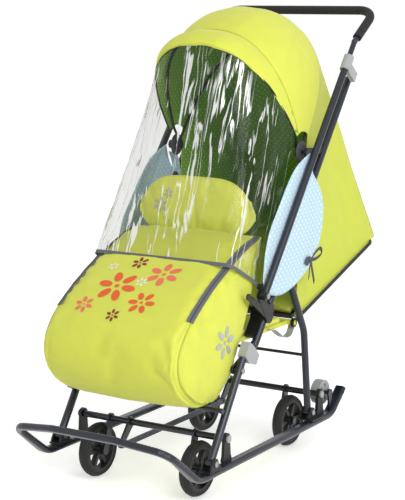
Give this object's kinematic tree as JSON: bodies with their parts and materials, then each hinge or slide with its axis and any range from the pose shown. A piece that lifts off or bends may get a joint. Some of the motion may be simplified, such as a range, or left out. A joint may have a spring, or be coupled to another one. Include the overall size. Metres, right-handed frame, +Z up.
{
  "type": "sled stroller",
  "caption": "Folding sled stroller: steel runners with swing-up wheels, a reclining seat, a folding hood with a clear rain film, a zipped leg muff and a telescoping reversible handle.",
  "frame": {"origin": "on the floor under the middle of the overall length and width, with the wheels down", "axes": "+X across to the right, +Y to the rear, +Z up"},
  "size_m": [0.4774, 1.1322, 1.1394],
  "materials": {
    "dark_steel": "satin dark navy-grey powder coat",
    "grey_steel": "plain zinc-plated pins",
    "black_plastic": "moulded, fine grain",
    "grey_plastic": "moulded, light grey",
    "tyre_rubber": "solid tread",
    "foam_grip": "closed-cell foam sleeve",
    "lime_fabric": "coated woven cloth",
    "lime_pad": "quilted cloth over padding",
    "blue_fabric": "cotton print with small pale dots",
    "clear_film": "clear flexible film with a grey hem"
  },
  "bodies": {
    "chassis": {"runner_left": "dark_steel", "runner_right": "dark_steel", "nose_bar": "dark_steel", "front_feet": "black_plastic", "rear_feet": "black_plastic", "front_axle_supports": "black_plastic", "rear_axle_supports": "black_plastic", "foot_pins": "grey_steel"},
    "roller_left": {"roller_left": "grey_plastic"},
    "roller_right": {"roller_right": "grey_plastic"},
    "front_axle": {"front_axle": "dark_steel", "axle_caps": "grey_plastic"},
    "rear_axle": {"rear_axle": "dark_steel", "rear_axle_caps": "grey_plastic"},
    "lift_link": {"lift_link": "dark_steel"},
    "wheel_front_left": {"tyre_front_left": "tyre_rubber", "hub_front_left": "black_plastic"},
    "wheel_front_right": {"tyre_front_right": "tyre_rubber", "hub_front_right": "black_plastic"},
    "wheel_rear_left": {"tyre_rear_left": "tyre_rubber", "hub_rear_left": "black_plastic"},
    "wheel_rear_right": {"tyre_rear_right": "tyre_rubber", "hub_rear_right": "black_plastic"},
    "front_legs": {"front_leg_left": "dark_steel", "front_leg_right": "dark_steel", "leg_clip_left": "grey_plastic", "leg_clip_right": "grey_plastic", "leg_cross": "dark_steel", "knee_pins": "grey_steel"},
    "rear_legs": {"rear_leg_left": "dark_steel", "rear_leg_right": "dark_steel", "rear_cross_rod": "dark_steel"},
    "upper_frame": {"side_tube_left": "dark_steel", "side_tube_right": "dark_steel", "seat_bracket_left": "black_plastic", "seat_bracket_right": "black_plastic", "hood_brackets": "black_plastic", "seat_base": "black_plastic", "seat_pad": "lime_pad", "rear_hoop": "black_plastic", "hood_dome": "lime_fabric", "hood_tent": "lime_fabric", "wing_left": "blue_fabric", "wing_right": "blue_fabric", "muff": "lime_fabric", "muff_flap": "lime_pad", "rain_film": "clear_film", "handle_pins": "grey_steel"},
    "backrest": {"backrest_frame": "dark_steel", "backrest_board": "black_plastic", "backrest_pad": "lime_pad"},
    "hood_front": {"front_hoop": "black_plastic", "hood_brim": "lime_fabric"},
    "handle": {"handle_arm_left": "dark_steel", "handle_arm_right": "dark_steel", "handle_collars": "grey_plastic"},
    "handle_bow": {"handle_bow": "dark_steel", "grip": "foam_grip"}
  },
  "joints": [
    {"name": "leg_fold", "type": "hinge", "parent": "chassis", "child": "front_legs", "pos_m": [0, -0.35846, 0.108], "axis": [1, 0, 0], "range_deg": [0, 46]},
    {"name": "knee_fold", "type": "hinge", "parent": "front_legs", "child": "upper_frame", "pos_m": [0, -0.23029, 0.30018], "axis": [1, 0, 0], "range_deg": [-66, 0]},
    {"name": "rear_fold", "type": "hinge", "parent": "chassis", "child": "rear_legs", "pos_m": [0, 0.14254, 0.108], "axis": [1, 0, 0], "range_deg": [0, 19.8]},
    {"name": "wheel_lift", "type": "hinge", "parent": "chassis", "child": "front_axle", "pos_m": [0, -0.27546, 0.144], "axis": [1, 0, 0], "range_deg": [0, 110]},
    {"name": "rear_lift", "type": "hinge", "parent": "chassis", "child": "rear_axle", "pos_m": [0, 0.19454, 0.144], "axis": [1, 0, 0], "range_deg": [0, 110]},
    {"name": "link_turn", "type": "hinge", "parent": "front_axle", "child": "lift_link", "pos_m": [-0.0575, -0.31836, 0.09651], "axis": [1, 0, 0], "range_deg": [-110, 0]},
    {"name": "roller_left_spin", "type": "hinge", "parent": "chassis", "child": "roller_left", "pos_m": [-0.187, 0.23854, 0.138], "axis": [1, 0, 0], "continuous": true},
    {"name": "roller_right_spin", "type": "hinge", "parent": "chassis", "child": "roller_right", "pos_m": [0.187, 0.23854, 0.138], "axis": [1, 0, 0], "continuous": true},
    {"name": "wheel_front_left_spin", "type": "hinge", "parent": "front_axle", "child": "wheel_front_left", "pos_m": [-0.145, -0.30046, 0.0675], "axis": [1, 0, 0], "continuous": true},
    {"name": "wheel_front_right_spin", "type": "hinge", "parent": "front_axle", "child": "wheel_front_right", "pos_m": [0.145, -0.30046, 0.0675], "axis": [1, 0, 0], "continuous": true},
    {"name": "wheel_rear_left_spin", "type": "hinge", "parent": "rear_axle", "child": "wheel_rear_left", "pos_m": [-0.13, 0.16954, 0.0675], "axis": [1, 0, 0], "continuous": true},
    {"name": "wheel_rear_right_spin", "type": "hinge", "parent": "rear_axle", "child": "wheel_rear_right", "pos_m": [0.13, 0.16954, 0.0675], "axis": [1, 0, 0], "continuous": true},
    {"name": "recline", "type": "hinge", "parent": "upper_frame", "child": "backrest", "pos_m": [0, 0.09054, 0.352], "axis": [1, 0, 0], "range_deg": [0, 45], "deforming": ["hood_tent"]},
    {"name": "hood_fold", "type": "hinge", "parent": "upper_frame", "child": "hood_front", "pos_m": [0, 0.12254, 0.782], "axis": [1, 0, 0], "range_deg": [-45, 0], "deforming": ["hood_dome", "rain_film"]},
    {"name": "handle_flip", "type": "hinge", "parent": "upper_frame", "child": "handle", "pos_m": [0, -0.12946, 0.463], "axis": [1, 0, 0], "range_deg": [0, 66]},
    {"name": "handle_extend", "type": "slide", "parent": "handle", "child": "handle_bow", "axis": [0, 0.6157, 0.788], "range_m": [0, 0.1]}
  ],
  "couplings": [
    {"joint": "knee_fold", "follows": "leg_fold", "ratio": -1.4301},
    {"joint": "rear_fold", "follows": "leg_fold", "ratio": 0.4278},
    {"joint": "rear_lift", "follows": "wheel_lift", "ratio": 1},
    {"joint": "link_turn", "follows": "wheel_lift", "ratio": -1}
  ]
}
